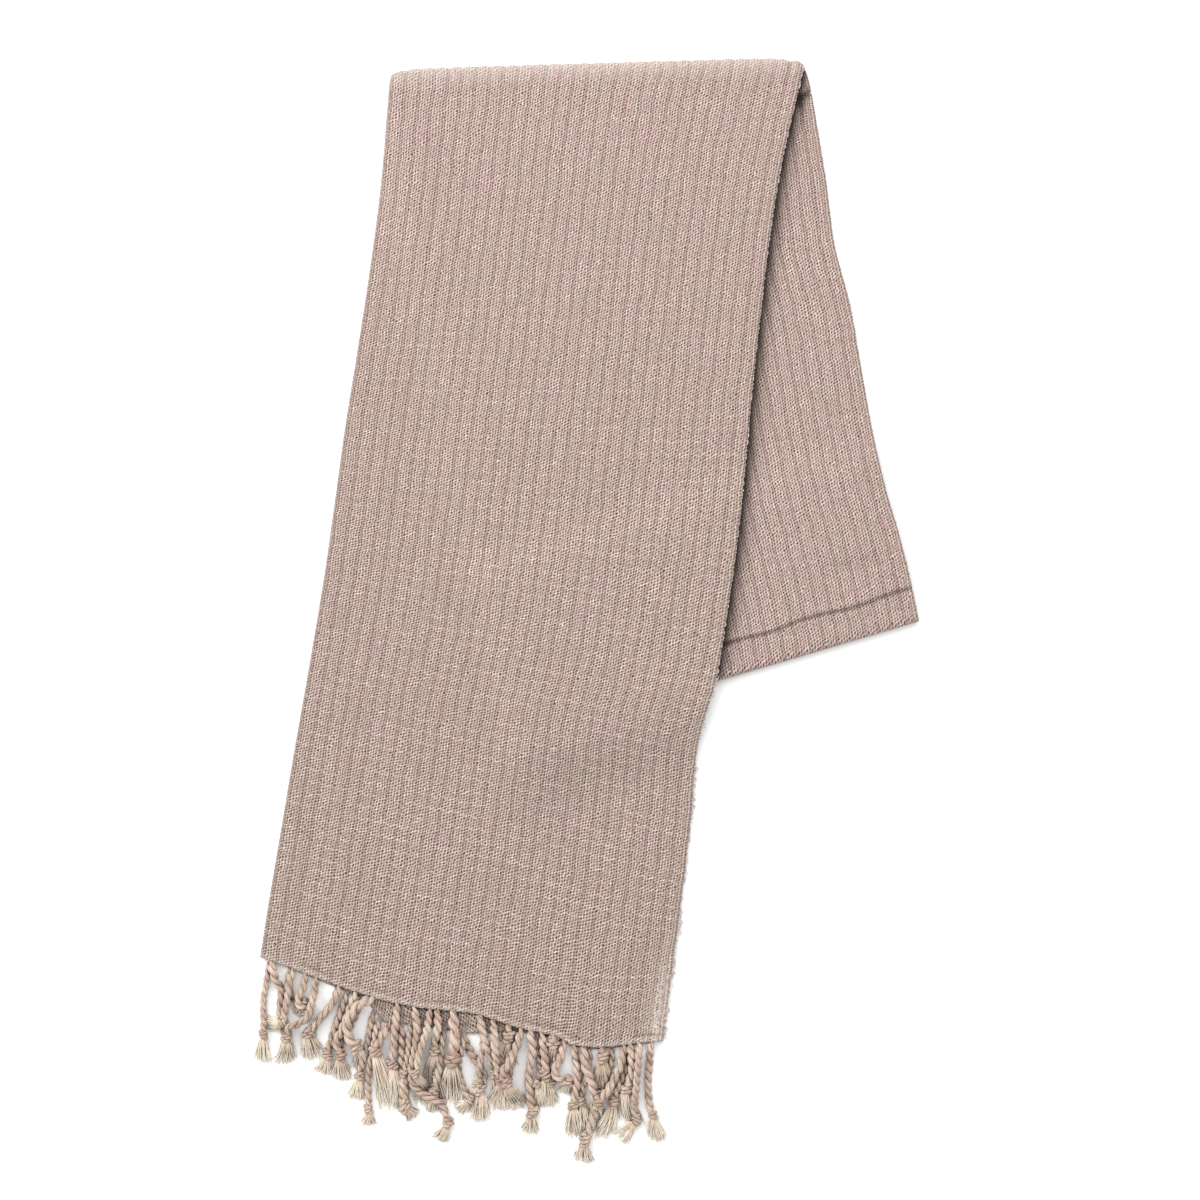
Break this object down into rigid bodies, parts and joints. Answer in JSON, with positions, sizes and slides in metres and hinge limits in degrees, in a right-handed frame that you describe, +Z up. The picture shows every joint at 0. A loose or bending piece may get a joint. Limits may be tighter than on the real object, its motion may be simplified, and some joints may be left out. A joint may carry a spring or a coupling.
{
  "type": "hammam towel",
  "caption": "Flat-woven cotton bath towel with knotted fringe, folded in half lengthwise, folded over once more and laid flat.",
  "frame": {"origin": "on the floor, under the middle of the laid towel's box", "axes": "+Y from the fringe towards the top fold, +X towards the selvedges, +Z up from the floor"},
  "size_m": [0.4142, 0.6797, 0.014],
  "materials": {
    "cotton_cloth": "matt woven cotton, dusty rose and beige threads",
    "cotton_fringe": "matt twisted cotton yarn, greyish beige"
  },
  "bodies": {
    "root": {"towel_cloth": "cotton_cloth", "front_fringe": "cotton_fringe", "back_fringe": "cotton_fringe"}
  },
  "joints": []
}
